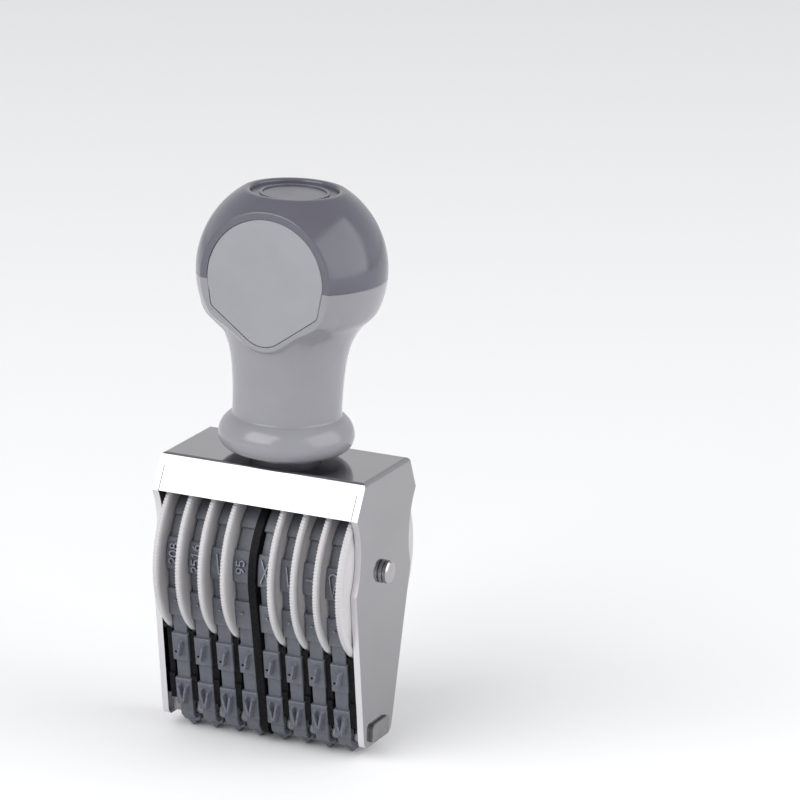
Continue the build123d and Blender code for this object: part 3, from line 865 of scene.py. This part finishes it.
class STAMP_OT_bands(bpy.types.Operator):
    """Models the rubber bands with their pads and raised characters"""

    bl_idname = "stamp.bands"
    bl_label = "Rubber bands"

    def execute(self, context):
        sizes = context.scene.band_sizes
        loop = BandLoop(sizes)
        materials = (
            rubber_material("band rubber", 1),
            # Paler rubber for the faces of the fine signs: rubbing and a painted highlight
            rubber_material("rubbed rubber", 1.9),
            # Near-black rubber in the pit: painted shade
            rubber_material("inked rubber", 0.12),
        )
        pitch = 2 * loop.half / PADS
        # The printing pad stands highest, then two bold ones; the rest are fine, their faces paler
        # from rubbing and a painted highlight
        reliefs = [(sizes.printing, PLAIN), (sizes.bold, PLAIN), (sizes.bold, PLAIN)]
        reliefs += [(sizes.fine, RUBBED_AND_SHEEN)] * (PADS - len(reliefs))
        for number in range(1, BANDS + 1):
            node = f"band_{number}"
            low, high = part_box(node)
            x = (low.x + high.x) / 2
            bm = bmesh.new()
            add_strip(bm, loop, x, sizes)
            for step, (sign, (relief, face_slot)) in enumerate(zip(band_signs(number), reliefs)):
                place = BAND_CREEP[number - 1] * MM + pitch * step
                rings = add_pad(bm, loop, x, place, high.x - low.x, sizes)
                if sign == "slash":
                    add_pit(bm, loop, x, place, rings, sizes)
                for points in sign_strokes(sign):
                    add_stroke(bm, loop, x, place, points, relief, face_slot, sizes)
            band = add_piece(f"{node}_moulded", bm, node, "stamp", "band_rubber", *materials)
            smooth_by_angle(band, 28)
        return {"FINISHED"}


# Pieces that keep their CAD shape


class STAMP_OT_frame(bpy.types.Operator):
    """Plates the folded frame"""

    bl_idname = "stamp.frame"
    bl_label = "Plated frame"

    def execute(self, context):
        finish_node("frame", plating_material())
        return {"FINISHED"}


class STAMP_OT_steel(bpy.types.Operator):
    """Finishes the axle, bar, washer and screw"""

    bl_idname = "stamp.steel"
    bl_label = "Steel pieces"

    def execute(self, context):
        finish_node("axle", steel_material("plated pin", 1.75, 0.12))
        finish_node("bridge_bar", steel_material("dark nickel", 1.0, 0.2))
        plain = steel_material("plain steel", 1.4, 0.28)
        for node in ("spring_washer", "handle_screw"):
            finish_node(node, plain)
        return {"FINISHED"}


class STAMP_OT_combs(bpy.types.Operator):
    """Finishes the black combs and the divider"""

    bl_idname = "stamp.combs"
    bl_label = "Combs and divider"

    def execute(self, context):
        material = comb_material()
        for node in ("left_comb", "right_comb", "centre_divider"):
            finish_node(node, material)
        return {"FINISHED"}


class STAMP_OT_handle(bpy.types.Operator):
    """Finishes the handle, its cap, badges and disc"""

    bl_idname = "stamp.handle"
    bl_label = "Ball handle"

    def execute(self, context):
        finishes = context.scene.stamp_finishes
        finish_node("handle_body", gloss_material("light grey moulding", finishes.handle))
        cap = gloss_material("slate grey moulding", finishes.cap, 0.14)
        finish_node("handle_cap", cap)
        finish_node("top_disc", gloss_material("slate grey disc", finishes.cap, 0.2, 0.01))
        badge = gloss_material("satin badge", finishes.badge, 0.38)
        for node in ("front_badge", "rear_badge"):
            finish_node(node, badge)
        return {"FINISHED"}


# Stage

STAMP_MIDDLE = Vector((0, 0, 50 * MM))
FLOOR_HALF = 12  # wide enough to run past the horizon of the view


def softbox(name, direction, distance, size, radiance):
    """Softbox in this direction from the stamp's middle, as bright as asked."""
    data = bpy.data.lights.new(name, "AREA")
    data.shape = "RECTANGLE"
    data.size, data.size_y = size
    data.energy = radiance * math.pi * data.size * data.size_y
    light = bpy.data.objects.new(name, data)
    away = Vector(direction).normalized()
    light.location = STAMP_MIDDLE + away * distance
    light.rotation_euler = away.to_track_quat("Z", "Y").to_euler()
    bpy.context.scene.collection.objects.link(light)


class STAMP_OT_stage(bpy.types.Operator):
    """Sets the floor, the soft lights and the camera"""

    bl_idname = "stamp.stage"
    bl_label = "Stage"

    def execute(self, context):
        studio = context.scene.studio_settings
        self.floor(studio)
        self.sky(context.scene, studio)
        softbox(
            "key softbox", direction=(-0.372, -0.719, 0.585), distance=1.15, size=(1.0, 0.95),
            radiance=3.3,
        )
        softbox(
            "right softbox", direction=(0.897, 0.126, 0.423), distance=1.2, size=(1.35, 1.15),
            radiance=1.9,
        )
        self.camera(context.scene, studio)
        return {"FINISHED"}

    def floor(self, studio):
        material, _, shader = blank_material("pale floor", 0.9)
        shader.inputs["Base Color"].default_value = (*studio.floor, 1)
        bm = bmesh.new()
        bmesh.ops.create_grid(bm, x_segments=1, y_segments=1, size=FLOOR_HALF)
        mesh = bpy.data.meshes.new("floor")
        bm.to_mesh(mesh)
        bm.free()
        mesh.materials.append(material)
        floor = bpy.data.objects.new("floor", mesh)
        bpy.context.scene.collection.objects.link(floor)

    def sky(self, scene, studio):
        world = bpy.data.worlds.new("soft surround")
        world.use_nodes = True
        tree = world.node_tree
        place = tree.nodes.new("ShaderNodeTexCoord")
        split = tree.nodes.new("ShaderNodeSeparateXYZ")
        tree.links.new(place.outputs["Generated"], split.inputs[0])
        height = split.outputs["Z"]
        strength = range_node(tree, height, 0.25, 0.85, studio.horizon, studio.zenith)
        tree.links.new(strength, tree.nodes["Background"].inputs["Strength"])
        tree.nodes["Background"].inputs["Color"].default_value = (0.98, 0.985, 1, 1)
        scene.world = world
        scene.view_settings.view_transform = "Standard"

    def camera(self, scene, studio):
        data = bpy.data.cameras.new("camera")
        data.lens = studio.lens
        data.sensor_width = 36
        data.clip_end = 20
        camera = bpy.data.objects.new("camera", data)
        turn, rise, roll = studio.azimuth, studio.elevation, studio.roll
        back = Vector(
            (math.sin(turn) * math.cos(rise), -math.cos(turn) * math.cos(rise), math.sin(rise))
        )
        right = Vector((math.cos(turn), math.sin(turn), 0))
        up = back.cross(right)
        axes = (
            right * math.cos(roll) + up * math.sin(roll),
            up * math.cos(roll) - right * math.sin(roll),
            back,
        )
        place = Vector(studio.aim) + back * studio.distance
        turned = Matrix(axes).transposed().to_4x4()
        camera.matrix_world = Matrix.Translation(place) @ turned
        scene.collection.objects.link(camera)
        scene.camera = camera


class STAMP_PT_panel(bpy.types.Panel):
    """Lists the stamp's sizes, colours and steps"""

    bl_idname = "STAMP_PT_panel"
    bl_label = "Rotary stamp"
    bl_space_type = "VIEW_3D"
    bl_region_type = "UI"
    bl_category = "Stamp"

    def draw(self, context):
        layout = self.layout
        for settings in SETTINGS:
            box = layout.box()
            group = getattr(context.scene, settings)
            for name in group.__annotations__:
                box.prop(group, name)
        for step in STEPS:
            layout.operator(f"stamp.{step}")


SETTINGS = {
    "stamp_finishes": StampFinishes,
    "wheel_sizes": WheelSizes,
    "band_sizes": BandSizes,
    "studio_settings": StudioSettings,
}
STEPS = ("stage", "frame", "steel", "combs", "wheels", "bands", "handle")
CLASSES = (
    StampFinishes, WheelSizes, BandSizes, StudioSettings,
    STAMP_OT_stage, STAMP_OT_frame, STAMP_OT_steel, STAMP_OT_combs,
    STAMP_OT_wheels, STAMP_OT_bands, STAMP_OT_handle, STAMP_PT_panel,
)


def register():
    for item in CLASSES:
        bpy.utils.register_class(item)
    for name, group in SETTINGS.items():
        setattr(bpy.types.Scene, name, bpy.props.PointerProperty(type=group))


def unregister():
    for name in SETTINGS:
        delattr(bpy.types.Scene, name)
    for item in reversed(CLASSES):
        bpy.utils.unregister_class(item)


def main():
    """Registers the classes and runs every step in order."""
    register()
    for step in STEPS:
        getattr(bpy.ops.stamp, step)()


if __name__ == "__main__":
    main()
